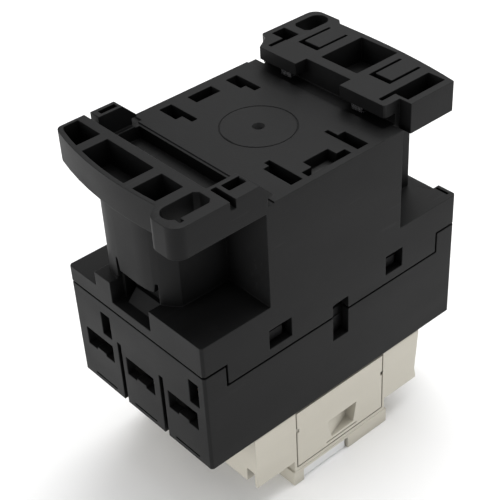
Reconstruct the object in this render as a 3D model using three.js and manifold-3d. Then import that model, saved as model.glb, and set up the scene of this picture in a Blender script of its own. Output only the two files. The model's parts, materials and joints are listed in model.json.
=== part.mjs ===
// Three-pole rail-mounted contactor, lying on its front cover with the rail side up.
// Millimetres. Origin: centre of the rail seat. +Z points out of the back, towards the rail;
// X runs across the three poles and Y runs along them, from the line end to the load end.
import * as THREE from "three";
import { mergeVertices } from "three/addons/utils/BufferGeometryUtils.js";
import Module from "manifold-3d";

const wasm = await Module();
wasm.setup();

// ---------------------------------------------------------------- driving dimensions
const WIDTH = 45; // over the housings, across the poles
const LENGTH = 74.2; // over the housings, along the poles
const POLE_PITCH = 14.4;
const GAP = 0.3; // between two pieces that touch in use
const CORNER = 0.5; // chamfer on the upright corners of both housings

const RAIL = 35; // height of the mounting rail
const RAIL_HOLD = 0.7; // how far each catch reaches over the rail edge
const HOOK_SLOT = 2.2; // clear height below the load-end hooks
const CATCH_SLOT = 1.4; // clear height below the line-end catches
const RAIL_PLAY_LINE = 0.6; // behind the rail edge, line end
const RAIL_PLAY_LOAD = 2.6; // behind the rail edge, load end
const SEAT_STEP = 0.3; // the floors under the catches lie this far below the seat
const SPRING_X = 10.75; // rail springs and the tongues over them
const SPRING_WIDTH = 3;
const CHANNEL_EDGE = 17.4; // where the rail seat ends, line end
const CHANNEL_FLOOR = -3.2; // channel between the seat and the line-end ear

const FIXING_SLOT = 4.8; // width of the slots for fixing screws
const EAR_TOP = 5.2; // ears stand this far above the rail seat
const EAR_THICK = 7.1;
const SEAT_THICK = 2.6;
const WALL = 2.1; // housing walls
const FLANGE_TOP = -24.6; // shoulders of the magnet housing
const SHOULDER_DROP = 3.6; // lowered corner of the line-end shoulder
const SEAM_END = -32.4; // parting line at the end faces
const SEAM_SIDE = -37.6; // parting line along the sides
const SEAM_GAP = 0.5;
const SEAM_STEP = 30.9; // where the parting line steps, from the middle
const HOUSING_FRONT = -58; // front of the contact housing

const COVER_SHIFT = 0.9; // the cover sits a little towards the load end
const COVER_WIDTH = 44.6;
const COVER_HALF = 25.9; // half length of the cover's shoulders
const BLOCK_HALF = 15.1; // half length of its raised block
const COVER_SHOULDER = -73;
const COVER_FRONT = -80.4;
const COVER_WALL = 1.6;
const DOOR_HALF = 13.6;
const DOOR_FRONT = -75.1;
const DOOR_THICK = 1.5;
const DOOR_PIVOT = -64.1;
const DOOR_POCKET = 7.6; // depth of the space behind a door
const FINGER_DEEP = 3; // fingernail pocket, at its deepest
const FINGER_WALL = 0.9;

const TRAVEL = 4; // of the contact carrier
const CONTACT_GAP = 4.3; // open contacts
const BAR_TOP = -44; // power terminal bars
const BAR_THICK = 1.2;
const BAR_WIDTH = 7;
const BAR_INNER = 8.8; // inner end of a bar, from the middle
const TIP_LENGTH = 3.8;
const TIP_THICK = 1;
const TERMINAL_Y = 30.4; // power screws, from the middle
const POWER_SHANK = 1.6;
const POWER_HEAD = 3.0;
const CONTROL_OFFSET = 19.8; // control screws, from the cover's middle
const CONTROL_SHANK = 1.3;
const CONTROL_HEAD = 2.5;
const CONTROL_STRIP = -66.2;
const DRIVER_PLAY = 0.6; // round a screw head in its well

const CORE_DEPTH = 12.4; // stack of the magnet, along Y
const CORE_HALF = 18.6; // half width of the magnet
const CORE_LEG = 5;
const CORE_MIDDLE = 5.3; // half width of the middle leg
const CORE_TOP = -4.3;
const CORE_YOKE = 6;
const CORE_FACE = -24.4; // pole faces of the fixed core
const SPRING_CLEAR = 5.4; // return springs, from the stack to their axes
const FLANGE_REACH = 8.3; // bobbin flanges beyond the stack
const LEAD_THICK = 0.6;
const LEAD_CLEAR = 0.3; // coil leads to the side walls
const LEAD_Y = 12.2; // where the leads leave the coil, inside the latches
const BRIDGE_WIDTH = 5.6;
const BRIDGE_TOP = BAR_TOP - BAR_THICK - TIP_THICK - CONTACT_GAP;

// ---------------------------------------------------------------- values that follow
const HX = WIDTH / 2;
const HY = LENGTH / 2;
const EAR_BOTTOM = EAR_TOP - EAR_THICK;
const MAGNET_HALF = HY - 18.2; // half length of the full-width magnet housing
const POLES = [-POLE_PITCH, 0, POLE_PITCH];
const ENDS = [-1, 1]; // line end, load end
const CATCH_LOAD = RAIL / 2 - 0.2 - RAIL_HOLD; // catch tips
const CATCH_LINE = -(RAIL / 2 + 0.2 - RAIL_HOLD);
const ARMATURE_FACE = CORE_FACE - CONTACT_GAP;
const ARMATURE_YOKE = ARMATURE_FACE - 4.3;
const ARMATURE_FRONT = ARMATURE_YOKE - CORE_YOKE;
const PLATFORM_TOP = ARMATURE_FRONT - GAP;
const PLATFORM_FRONT = PLATFORM_TOP - 3;
const BOBBIN_TOP = CORE_TOP - CORE_YOKE - GAP;
const BOBBIN_FRONT = CORE_FACE - 0.4;
const CAGE_FLOOR = -57.2;
const RETURN_Y = CORE_DEPTH / 2 + SPRING_CLEAR; // axes of the return springs
const BOBBIN_HALF = CORE_DEPTH / 2 + FLANGE_REACH;
// Outer face of the coil leads, which pass inside the housing and inside the cover.
const LEAD_X = Math.min(HX - WALL - LEAD_CLEAR, COVER_WIDTH / 2 - COVER_WALL - 2 * LEAD_CLEAR);
const CAGE_BASE = 1.4; // thin enough for a door to swing past

// ---------------------------------------------------------------- solids
const snap = (value) => Math.round(value * 2000) / 2000;

// Turns a three.js geometry into a solid that can be joined and cut. Its corners are snapped
// to a fine grid, so that faces meant to share a plane share it exactly.
function solid(geometry) {
  const bare = geometry.index ? geometry.toNonIndexed() : geometry;
  bare.deleteAttribute("normal");
  bare.deleteAttribute("uv");
  const corners = bare.attributes.position.array;
  corners.forEach((value, i) => {
    corners[i] = snap(value);
  });
  const merged = mergeVertices(bare, 1e-4);
  return new wasm.Manifold(
    new wasm.Mesh({
      numProp: 3,
      vertProperties: new Float32Array(merged.attributes.position.array),
      triVerts: new Uint32Array(merged.index.array),
    }),
  );
}

const join = (first, ...rest) => rest.reduce((a, b) => a.add(b), first);
const cut = (first, ...rest) => rest.reduce((a, b) => a.subtract(b), first);

// A block between two corners.
function block(x0, x1, y0, y1, z0, z1) {
  const box = new THREE.BoxGeometry(x1 - x0, y1 - y0, z1 - z0);
  box.translate((x0 + x1) / 2, (y0 + y1) / 2, (z0 + z1) / 2);
  return solid(box);
}

// The range from a to b on one side of the middle, lower end first.
const span = (side, a, b) => (side > 0 ? [a, b] : [-b, -a]);

// A block centred on x and y.
const slab = (x, y, width, length, z0, z1) =>
  block(x - width / 2, x + width / 2, y - length / 2, y + length / 2, z0, z1);

function outline(points) {
  return new THREE.Shape(points.map(([a, b]) => new THREE.Vector2(a, b)));
}

// A plan outline raised from z0 to z1.
function plate(shape, z0, z1, curveSegments = 6) {
  const options = { depth: z1 - z0, bevelEnabled: false, curveSegments };
  const raised = new THREE.ExtrudeGeometry(shape, options);
  raised.translate(0, 0, z0);
  return solid(raised);
}

// A profile in the Y-Z plane carried from x0 to x1.
function alongX(points, x0, x1) {
  const options = { depth: x1 - x0, bevelEnabled: false };
  const made = new THREE.ExtrudeGeometry(outline(points), options);
  made.applyMatrix4(
    new THREE.Matrix4().set(0, 0, 1, x0, 1, 0, 0, 0, 0, 1, 0, 0, 0, 0, 0, 1),
  );
  return solid(made);
}

// A profile in the X-Z plane carried from y0 to y1.
function alongY(points, y0, y1) {
  const options = { depth: y1 - y0, bevelEnabled: false };
  const made = new THREE.ExtrudeGeometry(outline(points), options);
  made.applyMatrix4(
    new THREE.Matrix4().set(1, 0, 0, 0, 0, 0, -1, y1, 0, 1, 0, 0, 0, 0, 0, 1),
  );
  return solid(made);
}

// A round rod along Z.
function rod(x, y, radius, z0, z1, sides = 16) {
  const round = new THREE.CylinderGeometry(radius, radius, z1 - z0, sides);
  round.rotateX(Math.PI / 2);
  round.translate(x, y, (z0 + z1) / 2);
  return solid(round);
}

// A round rod along Y.
function rodAlongY(x, z, radius, y0, y1, sides = 12) {
  const round = new THREE.CylinderGeometry(radius, radius, y1 - y0, sides);
  round.translate(x, (y0 + y1) / 2, z);
  return solid(round);
}

// A turned piece about Z from [radius, z] points that start and end on the axis.
function turned(x, y, points, sides = 16) {
  const profile = points.map(([r, z]) => new THREE.Vector2(r, z));
  const lathe = new THREE.LatheGeometry(profile, sides);
  lathe.rotateX(Math.PI / 2);
  lathe.translate(x, y, 0);
  return solid(lathe);
}

function roundedRect(x0, x1, y0, y1, r) {
  const shape = new THREE.Shape();
  shape.moveTo(x0 + r, y0);
  shape.lineTo(x1 - r, y0);
  shape.absarc(x1 - r, y0 + r, r, -Math.PI / 2, 0);
  shape.lineTo(x1, y1 - r);
  shape.absarc(x1 - r, y1 - r, r, 0, Math.PI / 2);
  shape.lineTo(x0 + r, y1);
  shape.absarc(x0 + r, y1 - r, r, Math.PI / 2, Math.PI);
  shape.lineTo(x0, y0 + r);
  shape.absarc(x0 + r, y0 + r, r, Math.PI, Math.PI * 1.5);
  return shape;
}

// The plan of both housings: a rectangle with chamfered corners.
function housingPlan() {
  const [x, y, c] = [HX, HY, CORNER];
  return outline([
    [-x + c, -y],
    [x - c, -y],
    [x, -y + c],
    [x, y - c],
    [x - c, y],
    [-x + c, y],
    [-x, y - c],
    [-x, -y + c],
  ]);
}

class Helix extends THREE.Curve {
  constructor(x, y, radius, z0, z1, turns) {
    super();
    Object.assign(this, { x, y, radius, z0, z1, turns });
  }
  getPoint(t, target = new THREE.Vector3()) {
    const angle = t * this.turns * Math.PI * 2;
    return target.set(
      this.x + this.radius * Math.cos(angle),
      this.y + this.radius * Math.sin(angle),
      this.z0 + (this.z1 - this.z0) * t,
    );
  }
}

// A coil spring; z0 and z1 are the outer faces of its end turns.
function spring(x, y, radius, wire, z0, z1, turns) {
  const section = new THREE.Shape();
  section.absarc(0, 0, wire / 2, 0, Math.PI * 2);
  const path = new Helix(x, y, radius, z0 + wire / 2, z1 - wire / 2, turns);
  const options = {
    steps: turns * 9,
    bevelEnabled: false,
    extrudePath: path,
    curveSegments: 5,
  };
  return solid(new THREE.ExtrudeGeometry(section, options));
}

// ---------------------------------------------------------------- materials
const plastic = (color, roughness) =>
  new THREE.MeshStandardMaterial({ color, roughness, metalness: 0 });
const metal = (color, roughness) =>
  new THREE.MeshStandardMaterial({ color, roughness, metalness: 1 });

const BLACK = plastic(0x1c1d1e, 0.55);
const CREAM = plastic(0xd3cebf, 0.5);
const DARK_GREY = plastic(0x2b2c2d, 0.6);
const LABEL = plastic(0xf4f4f2, 0.6);
const NYLON = plastic(0x3a3b38, 0.6);
const ELASTOMER = plastic(0x181818, 0.9);
const TAPE = plastic(0x8a5a2a, 0.5);
const CLEAR = new THREE.MeshStandardMaterial({
  color: 0xf0f2f4,
  roughness: 0.15,
  metalness: 0,
  transparent: true,
  opacity: 0.3,
});
const LAMINATION = metal(0x6f7274, 0.45);
const ZINC = metal(0xb9bcbe, 0.35);
const BRASS = metal(0xb8945a, 0.35);
const COPPER = metal(0xb87350, 0.35);
const SPRING_STEEL = metal(0x9a9da0, 0.3);

const contactor = new THREE.Group();

function addPiece(name, made, material) {
  const mesh = made.getMesh();
  const geometry = new THREE.BufferGeometry();
  const corners = new THREE.BufferAttribute(mesh.vertProperties, 3);
  geometry.setAttribute("position", corners);
  geometry.setIndex(new THREE.BufferAttribute(mesh.triVerts, 1));
  geometry.computeVertexNormals();
  const piece = new THREE.Mesh(geometry, material);
  piece.name = name;
  contactor.add(piece);
}

// ---------------------------------------------------------------- base housing
// The line-end ear is a shallow arc with a boss for a fixing screw on its +X side.
function lineEarPlan() {
  const shape = new THREE.Shape();
  shape.moveTo(HX, -17.7);
  shape.lineTo(HX, -HY - 0.6);
  shape.absarc(HX - 2.9, -HY - 0.7, 2.9, 0, -Math.PI / 2, true);
  shape.lineTo(16.6, -HY - 3.6);
  shape.absarc(16.6, -HY - 1.4, 2.2, -Math.PI / 2, -Math.PI * 0.86, true);
  shape.lineTo(13.4, -HY - 0.5);
  shape.quadraticCurveTo(-5, -HY - 2.6, -HX + 1.4, -HY + 1.9);
  shape.absarc(-HX + 1.6, -HY + 3.6, 1.6, -Math.PI * 0.6, -Math.PI, true);
  shape.lineTo(-HX, -17.7);
  shape.closePath();
  return shape;
}

// The load-end ear, with a boss for a fixing screw on its -X side.
function loadEarPlan(inner) {
  const shoulder = MAGNET_HALF + 2.4; // where the ear starts beside its catches
  const shape = new THREE.Shape();
  shape.moveTo(-HX, shoulder);
  shape.lineTo(-20.4, shoulder - 1);
  shape.lineTo(-18.6, inner + 0.6);
  shape.lineTo(-18.2, inner);
  shape.lineTo(18.9, inner);
  shape.lineTo(19.3, inner + 0.6);
  shape.lineTo(19.3, shoulder - 0.2);
  shape.lineTo(HX, shoulder - 0.2);
  shape.lineTo(HX, HY - 3.0);
  shape.quadraticCurveTo(8, HY - 0.2, -10, HY - 0.5);
  shape.lineTo(-13.2, HY - 0.5);
  shape.lineTo(-14.6, HY + 0.7);
  shape.lineTo(-18.5, HY + 0.7);
  shape.absarc(-HX + 2.6, HY - 1.9, 2.6, Math.PI / 2, Math.PI);
  shape.closePath();
  return shape;
}

// The neck that carries an ear; its outer face is rounded off towards its sides.
function neck(end, minusX, plusX, reach, fall) {
  const root = end * (MAGNET_HALF - 0.5);
  const face = end * (HY - reach);
  const side = end * (HY - reach - fall);
  const shape = new THREE.Shape();
  shape.moveTo(plusX, root);
  shape.lineTo(plusX, side);
  shape.quadraticCurveTo(plusX - 3.4, face, plusX - 9, face);
  shape.lineTo(minusX + 8, face);
  shape.quadraticCurveTo(minusX + 1.2, face, minusX, side);
  shape.lineTo(minusX, root);
  return plate(shape, FLANGE_TOP - 0.5, EAR_BOTTOM + 0.5, 5);
}

// A slot for a fixing screw, fully round at its outer end.
function fixingSlot(x, y, end, run) {
  const [half, nook] = [FIXING_SLOT / 2, 0.9];
  const inner = y - end * run;
  const shape = new THREE.Shape();
  shape.moveTo(x - half, inner + end * nook);
  shape.lineTo(x - half, y);
  shape.absarc(x, y, half, Math.PI, 0, end > 0);
  shape.lineTo(x + half, inner + end * nook);
  shape.lineTo(x + half - nook, inner);
  shape.lineTo(x - half + nook, inner);
  return plate(shape, EAR_BOTTOM - 1, EAR_TOP + 1, 8);
}

// Cells in the line-end ear; the outer ones stay a rim's width inside its edge.
function linePockets() {
  const floor = EAR_BOTTOM + 1.2;
  const deep = EAR_TOP + 1;
  const inset = plate(lineEarPlan(), floor, deep, 8).translate(0.6, 1.0, 0);
  const cells = [
    block(-21.7, -14, -HY - 1, -29.9, floor, deep),
    block(-11.5, 3.4, -HY - 2, -30, floor, deep),
    block(6, 12.4, -HY - 2, -30.2, floor, deep),
  ];
  return [
    ...cells.map((cell) => cell.intersect(inset)),
    fixingSlot(17.4, -36.7, -1, 7.5),
    block(18.5, 20.9, -37.9, -36.9, 3.6, deep), // nick beside the slot
    block(-HX - 1, -18.6, -27.7, -26.3, -1, deep), // slit beside the far catch
    block(16.8, HX + 1, -27.4, -26, 3.2, deep), // slit beside the near catch
    block(17.1, 19.5, -25, -20.6, 0.8, deep), // cell in the near catch
    block(-21.6, -20.3, -25, -18, 2.2, deep), // cell in the far catch, open inwards
    block(-19.5, -18.5, -27.7, -17, 0, deep), // ledge between far catch and channel
    block(-HX - 1, -19.6, -17.4, -15.8, -0.4, deep), // notch in the seat's edge
    block(-18.5, 16, -27.7, -CHANNEL_EDGE, CHANNEL_FLOOR, deep),
  ];
}

function loadPockets() {
  const floor = EAR_BOTTOM + 1.2;
  const deep = EAR_TOP + 1;
  const bed = 0.2; // floor of the room for a rail spring
  const room = SPRING_WIDTH / 2 + 0.4;
  const tongues = [-SPRING_X, SPRING_X].flatMap((x) => [
    block(x - 3, x - 2.3, 25, 33.6, bed, deep),
    block(x + 2.3, x + 3, 25, 33.6, bed, deep),
    block(x - 3, x + 3, 24, 25.4, bed, deep),
    block(x - 3, x + 3, 22, 33.6, bed, EAR_TOP - 2.4),
    block(x - room, x + room, CATCH_LOAD, 22.1, bed, HOOK_SLOT),
  ]);
  return [
    fixingSlot(-18.25, 34.4, 1, 5.5),
    block(-21, -16.2, 22.8, 26.6, floor, deep), // far cell
    block(-17.4, -16.4, 18.4, 23, 2.9, deep), // its slit
    block(-5, 5.7, 22.6, 35.1, floor, deep), // middle cell
    block(16.3, 20.8, 21.9, 33.2, floor, deep), // near cell
    block(16.3, 17.3, 18, 22, 2.9, deep), // its slit
    ...tongues,
  ];
}

// Undercut and front gap that leave two catches over the rail's load edge.
function loadCatchCuts(inner) {
  const back = RAIL / 2 - 0.2 + RAIL_PLAY_LOAD;
  return [
    block(-HX - 1, 19.3, inner - 0.2, back, -SEAT_STEP, HOOK_SLOT),
    block(-6.8, 6.5, inner - 0.2, back, -SEAT_STEP, EAR_TOP + 1),
  ];
}

// The two noses that reach over the rail's line edge, ramped on their upper side.
function lineNoses() {
  const back = -(RAIL / 2 + 0.2 + RAIL_PLAY_LINE);
  const tip = CATCH_SLOT + 0.5;
  const profile = [
    [CATCH_LINE - EAR_TOP + tip - 0.6, CATCH_SLOT],
    [CATCH_LINE, CATCH_SLOT],
    [CATCH_LINE, tip],
    [CATCH_LINE - EAR_TOP + tip, EAR_TOP],
    [CATCH_LINE - EAR_TOP + tip - 0.6, EAR_TOP],
  ];
  return [alongX(profile, -HX, -19.5), alongX(profile, 17.4, HX)];
}

// Windows through the rail seat, where the magnet's clips are hooked in.
function seatWindows() {
  const low = -SEAT_THICK - 1;
  const wide = (x0, x1, y0, y1) => block(x0, x1, y0, y1, low, 1);
  return [
    wide(-20.2, -14.6, -10.7, -7.4),
    wide(-15, -11.4, -8.9, -7.4),
    wide(-20, -16.8, -3.1, 3.6),
    wide(-19.6, -14.6, 7.5, 10.7),
    wide(-15, -11.6, 8.9, 10.7),
    wide(14.2, 20.8, 7.4, 10.4),
    wide(11.3, 15, 7.4, 8.4),
    wide(16.4, 18.9, -3.5, 3.3),
    wide(18.9, 20.8, -6.2, 5.6),
    wide(12.6, 20.6, -10.6, -7.6),
    wide(11.1, 13, -9, -7.6),
  ];
}

// Side windows that show the contact housing's latches, and the slot across the seam.
function sideCuts(side) {
  const x0 = side > 0 ? HX - 2.3 : -HX - 1;
  const x1 = side > 0 ? HX + 1 : -HX + 2.3;
  return {
    latches: [
      block(x0, x1, -19.6, -13.4, -35.3, -30.4),
      block(x0, x1, 14.7, 19.9, -35.2, -30.2),
    ],
    slot: block(x0, x1, -1.5, 3.1, -44.3, -34.3),
  };
}

function baseHousing() {
  const lineNeck = [-13.2, 9.8, 1.9, 4.1];
  const loadNeck = [-13.2, 12.6, 3.4, 1.5];
  const shell = join(
    plate(housingPlan(), SEAM_END + SEAM_GAP / 2, FLANGE_TOP),
    block(-HX, HX, -SEAM_STEP, SEAM_STEP, SEAM_SIDE + SEAM_GAP / 2, FLANGE_TOP),
    block(-HX, HX, -MAGNET_HALF, MAGNET_HALF, FLANGE_TOP - 1, 0),
    neck(-1, ...lineNeck),
    neck(1, ...loadNeck),
    plate(lineEarPlan(), EAR_BOTTOM, EAR_TOP, 8),
    block(-19.7, 17.2, -28.9, -MAGNET_HALF + 0.5, CHANNEL_FLOOR - 1.2, EAR_BOTTOM + 0.5),
    plate(loadEarPlan(CATCH_LOAD), EAR_BOTTOM, EAR_TOP, 8),
  );
  const rim = EAR_TOP + 1;
  const lineBack = -(RAIL / 2 + 0.2 + RAIL_PLAY_LINE);
  const nose = CATCH_LINE - EAR_TOP + CATCH_SLOT + 0.5;
  const opened = cut(
    shell,
    block(-HX - 1, HX + 1, nose, -17, CATCH_SLOT, rim), // clear above the seat
    block(-HX - 1, HX + 1, lineBack, CATCH_LINE + 0.2, -SEAT_STEP, rim),
    ...loadCatchCuts(CATCH_LOAD),
    ...linePockets(),
    ...loadPockets(),
    ...seatWindows(),
  );
  const latchWindows = ENDS.flatMap((side) => sideCuts(side).latches);
  const seamSlots = ENDS.map((side) => sideCuts(side).slot);
  const cleared = cut(
    join(opened, ...lineNoses()),
    magnetRoom(),
    shoulderRoom(),
    block(-HX - 1, -12.4, -HY - 1, -MAGNET_HALF, FLANGE_TOP - SHOULDER_DROP, FLANGE_TOP + 1),
    block(-7, 5.7, -HY - 1, -HY + 3.4, -29.9, FLANGE_TOP + 1),
    block(-17.4, 17.4, HY - 2.2, HY + 1, FLANGE_TOP - 1.5, FLANGE_TOP + 1),
    block(17.8, 21.2, HY - 1.5, HY - 0.9, FLANGE_TOP - 1, FLANGE_TOP + 1),
    neckArch(),
    ...latchWindows,
    ...seamSlots,
  );
  return join(cleared, archRamp());
}

// Room for the magnet and its coil, open towards the contacts.
function magnetRoom() {
  const [x, y] = [HX - WALL, MAGNET_HALF - 2.9];
  return block(-x, x, -y, y, SEAM_SIDE - 2, -SEAT_THICK);
}

// Shallow room under each shoulder.
function shoulderRoom() {
  const x = HX - WALL;
  return block(-x, x, -SEAM_STEP + WALL, SEAM_STEP - WALL, SEAM_SIDE - 2, -31.6);
}

// Arch at the foot of the line-end neck, with a slit up each side.
function neckArch() {
  const profile = [
    [-6.4, -29.9],
    [6, -29.9],
    [6, -19.6],
    [5.4, -19.6],
    [5.1, -21.8],
    [-5.2, -21.6],
    [-5.8, -18.6],
    [-6.4, -18.6],
  ];
  return alongY(profile, -HY - 1, -HY + 6);
}

// Sloping ramp that fills the arch's lower part.
function archRamp() {
  const profile = [
    [-HY + 2.3, -30.2],
    [-HY + 6.5, -30.2],
    [-HY + 6.5, -27.2],
    [-HY + 5, -27.2],
  ];
  return alongX(profile, -4.9, 4);
}

// ---------------------------------------------------------------- contact housing
function contactHousing() {
  const outer = join(
    plate(housingPlan(), HOUSING_FRONT, SEAM_SIDE - SEAM_GAP / 2),
    endWall(-1),
    endWall(1),
  );
  const inside = HX - WALL;
  const hollow = cut(
    outer,
    block(-inside, inside, -HY + WALL, HY - WALL, HOUSING_FRONT + 2, SEAM_END + 1),
  );
  const fitted = join(hollow, ...partitions(), ...barRests(), ...latches());
  const poleCuts = POLES.flatMap((x) => ENDS.map((end) => poleOpenings(x, end)).flat());
  return cut(
    fitted,
    block(-20.2, 20.2, -7.4, 7.4, HOUSING_FRONT - 1, HOUSING_FRONT + 3),
    block(-12.4, 12.4, 4, 11.4, HOUSING_FRONT - 1, HOUSING_FRONT + 3),
    ...ENDS.map((end) => leadSlot(end)),
    ...poleCuts,
    ...ENDS.flatMap((end) => endFaceCuts(end)),
    ...ENDS.map((side) => sideCuts(side).slot),
  );
}

// The end walls rise to the outer level of the parting line.
function endWall(end) {
  const inner = end * (SEAM_STEP + SEAM_GAP);
  const mask = block(-HX, HX, Math.min(inner, end * HY * 2), Math.max(inner, end * HY * 2), -60, 0);
  const raised = plate(housingPlan(), SEAM_SIDE - 1, SEAM_END - SEAM_GAP / 2);
  return raised.intersect(mask);
}

// Walls between the poles, cut back in the middle for the contact carrier.
function partitions() {
  return [-POLE_PITCH / 2, POLE_PITCH / 2].flatMap((x) =>
    ENDS.map((end) => {
      const y = [end * 15.2, end * (HY - 1)].sort((a, b) => a - b);
      return block(x - 0.7, x + 0.7, y[0], y[1], HOUSING_FRONT + 1, -41);
    }),
  );
}

// Hollow posts that carry the power bars.
function barRests() {
  return POLES.flatMap((x) =>
    ENDS.map((end) => {
      const y = end * 20.6;
      const top = BAR_TOP - BAR_THICK - GAP;
      const post = slab(x, y, 8.6, 7, HOUSING_FRONT + 1, top);
      return post.subtract(slab(x, y, 6, 4.4, HOUSING_FRONT + 2, top + 1));
    }),
  );
}

// Latches: a stem inside the base housing with a hook that shows in its side window.
function latches() {
  const stem = HX - WALL - GAP; // outer face of the stem
  const rows = [
    [-18.6, -14.6],
    [15.4, 19.2],
  ];
  return ENDS.flatMap((side) =>
    rows.flatMap(([y0, y1]) => [
      block(...span(side, stem - 0.8, stem), y0, y1, -41.5, -32.6),
      block(...span(side, stem - 0.1, HX - 0.9), y0, y1, -35, -32.6),
      block(...span(side, stem - 0.1, stem + 0.8), y0, y1, -41.5, SEAM_SIDE - SEAM_GAP),
    ]),
  );
}

function leadSlot(end) {
  const y = [end * 16.9, end * 19.1].sort((a, b) => a - b);
  const [x0, x1] = [-LEAD_X - LEAD_CLEAR, -LEAD_X + LEAD_THICK + 0.5];
  return block(x0, x1, y[0], y[1], HOUSING_FRONT - 1, HOUSING_FRONT + 3);
}

// Cable entry, screw well and groove of one pole end.
function poleOpenings(x, end) {
  const across = (x0, x1, z0, z1, depth) => {
    const y = [end * (HY + 1), end * (HY - depth)].sort((a, b) => a - b);
    return block(x + x0, x + x1, y[0], y[1], z0, z1);
  };
  return [
    across(-4.8, 4.8, -47.9, -43.7, WALL + 0.5),
    across(-4.8, -1.6, -48.6, -47, WALL + 0.5),
    across(1.7, 4.8, -48.6, -47, WALL + 0.5),
    across(-3.6, 4.2, -56.9, -56.5, 0.5),
    rod(x, end * TERMINAL_Y, POWER_HEAD + DRIVER_PLAY, HOUSING_FRONT - 1, HOUSING_FRONT + 3, 20),
  ];
}

// Grooves between the poles and the two tall vents above the cable entries.
function endFaceCuts(end) {
  const y = [end * (HY + 1), end * (HY - 1)].sort((a, b) => a - b);
  const through = [end * (HY + 1), end * (HY - WALL - 1)].sort((a, b) => a - b);
  return [
    block(-7.5, -6.2, ...y, HOUSING_FRONT - 1, -41.2),
    block(6.9, 8.2, ...y, HOUSING_FRONT - 1, -41.2),
    block(-12.5, -9.3, ...through, -41.7, -35.5),
    block(17.2, 20.3, ...through, -41.7, -35.5),
  ];
}

// ---------------------------------------------------------------- front cover
const cy = (offset) => COVER_SHIFT + offset; // a place along Y on the cover
const COVER_TOP = HOUSING_FRONT - GAP;
const DOOR_INNER = COVER_WIDTH / 2 - DOOR_THICK; // inner face of a door
const POCKET_INNER = COVER_WIDTH / 2 - DOOR_POCKET;
const PIVOT_X = DOOR_INNER + 0.2;
const LABEL_FROM = -12.1; // label recess, from the cover's middle
const LABEL_TO = 2.1;
const LABEL_FLOOR = -77;
const NOSE_X = 3.6; // the carrier's nose in its window
const NOSE_Y = [4.4, 10.6];

function frontCover() {
  const w = COVER_WIDTH / 2;
  const ledge = DOOR_FRONT - 1.2; // the block is a little wider in front of this
  const shoulders = alongX(shoulderProfile(), -w, w);
  const upper = block(-w, w, cy(0.5 - BLOCK_HALF), cy(BLOCK_HALF - 0.5), ledge - 0.5, COVER_TOP);
  const lip = w + 0.2;
  const lower = block(-lip, lip, cy(-BLOCK_HALF), cy(BLOCK_HALF), COVER_FRONT, ledge);
  const inner = w - COVER_WALL;
  const rooms = ENDS.map((end) => {
    const y = [cy(end * 16.2), cy(end * (COVER_HALF - COVER_WALL))].sort((a, b) => a - b);
    return block(-inner, inner, ...y, COVER_SHOULDER + COVER_WALL, COVER_TOP + 1);
  });
  const middle = block(
    -13.2,
    13.2,
    cy(-16.4),
    cy(16.4),
    COVER_SHOULDER + COVER_WALL,
    COVER_TOP + 1,
  );
  const well = block(-13.2, 13.2, cy(-13.5), cy(13.5), LABEL_FLOOR + 1.6, COVER_TOP + 1);
  return cut(
    join(shoulders, upper, lower),
    ...rooms,
    middle,
    well,
    ...ENDS.flatMap((side) => doorOpening(side)),
    slab(0, 0, 42, 10.8, CAGE_FLOOR - 2.2, COVER_TOP + 1), // clear of the carrier's cages
    block(-w - 1, w + 1, cy(LABEL_FROM), cy(LABEL_TO), COVER_FRONT - 1, LABEL_FLOOR),
    block(-NOSE_X - 0.6, NOSE_X + 0.6, NOSE_Y[0] - 0.6, NOSE_Y[1] + 0.6, COVER_FRONT - 1, -70),
    ...POLES.flatMap((x) => ENDS.flatMap((end) => controlOpenings(x, end))),
    ...addOnSlots(),
  );
}

// The shoulders in profile; the load end is drawn in a little and lipped at the front.
function shoulderProfile() {
  return [
    [cy(-COVER_HALF), COVER_SHOULDER],
    [cy(COVER_HALF - 0.4), COVER_SHOULDER],
    [cy(COVER_HALF - 0.4), COVER_SHOULDER + 0.7],
    [cy(COVER_HALF - 0.9), COVER_SHOULDER + 3.2],
    [cy(COVER_HALF), COVER_TOP - 1],
    [cy(COVER_HALF), COVER_TOP],
    [cy(-COVER_HALF), COVER_TOP],
  ];
}

// Opening, pocket and pivot holes for one side door.
function doorOpening(side) {
  const half = DOOR_HALF + GAP;
  return [
    block(
      ...span(side, POCKET_INNER, COVER_WIDTH / 2 + 1),
      cy(-half),
      cy(half),
      DOOR_FRONT - GAP,
      COVER_TOP + 1,
    ),
    rodAlongY(side * PIVOT_X, DOOR_PIVOT, 1.15, cy(-half - 1.4), cy(half + 1.4)),
  ];
}

// Screw well and wire entry of one control terminal.
function controlOpenings(x, end) {
  const y = cy(end * CONTROL_OFFSET);
  const wall = [cy(end * (COVER_HALF + 1)), cy(end * (COVER_HALF - 3))].sort((a, b) => a - b);
  const entry = x === 0 ? 2.6 : Math.sign(x) * 20.2;
  return [
    rod(x, y, CONTROL_HEAD + DRIVER_PLAY, COVER_SHOULDER - 1, COVER_SHOULDER + 3, 16),
    block(entry - 1.3, entry + 1.3, ...wall, COVER_SHOULDER - 1, -69),
  ];
}

// Guide grooves where an add-on block slides on.
function addOnSlots() {
  return [-9.6, 9.6].map((x) =>
    block(x - 0.9, x + 0.9, cy(3.2), cy(BLOCK_HALF + 1), COVER_FRONT - 1, COVER_FRONT + 1.2),
  );
}

function labelHolder() {
  const w = COVER_WIDTH / 2 - 0.5;
  const [y0, y1] = [cy(LABEL_FROM) + GAP, cy(LABEL_TO) - GAP];
  const cap = block(-w, w, y0, y1, COVER_FRONT + 0.1, LABEL_FLOOR - GAP);
  const room = block(-w + 1, w - 1, y0 + 1, y1 - 1, COVER_FRONT + 1.1, LABEL_FLOOR + 1);
  return cap.subtract(room);
}

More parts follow.
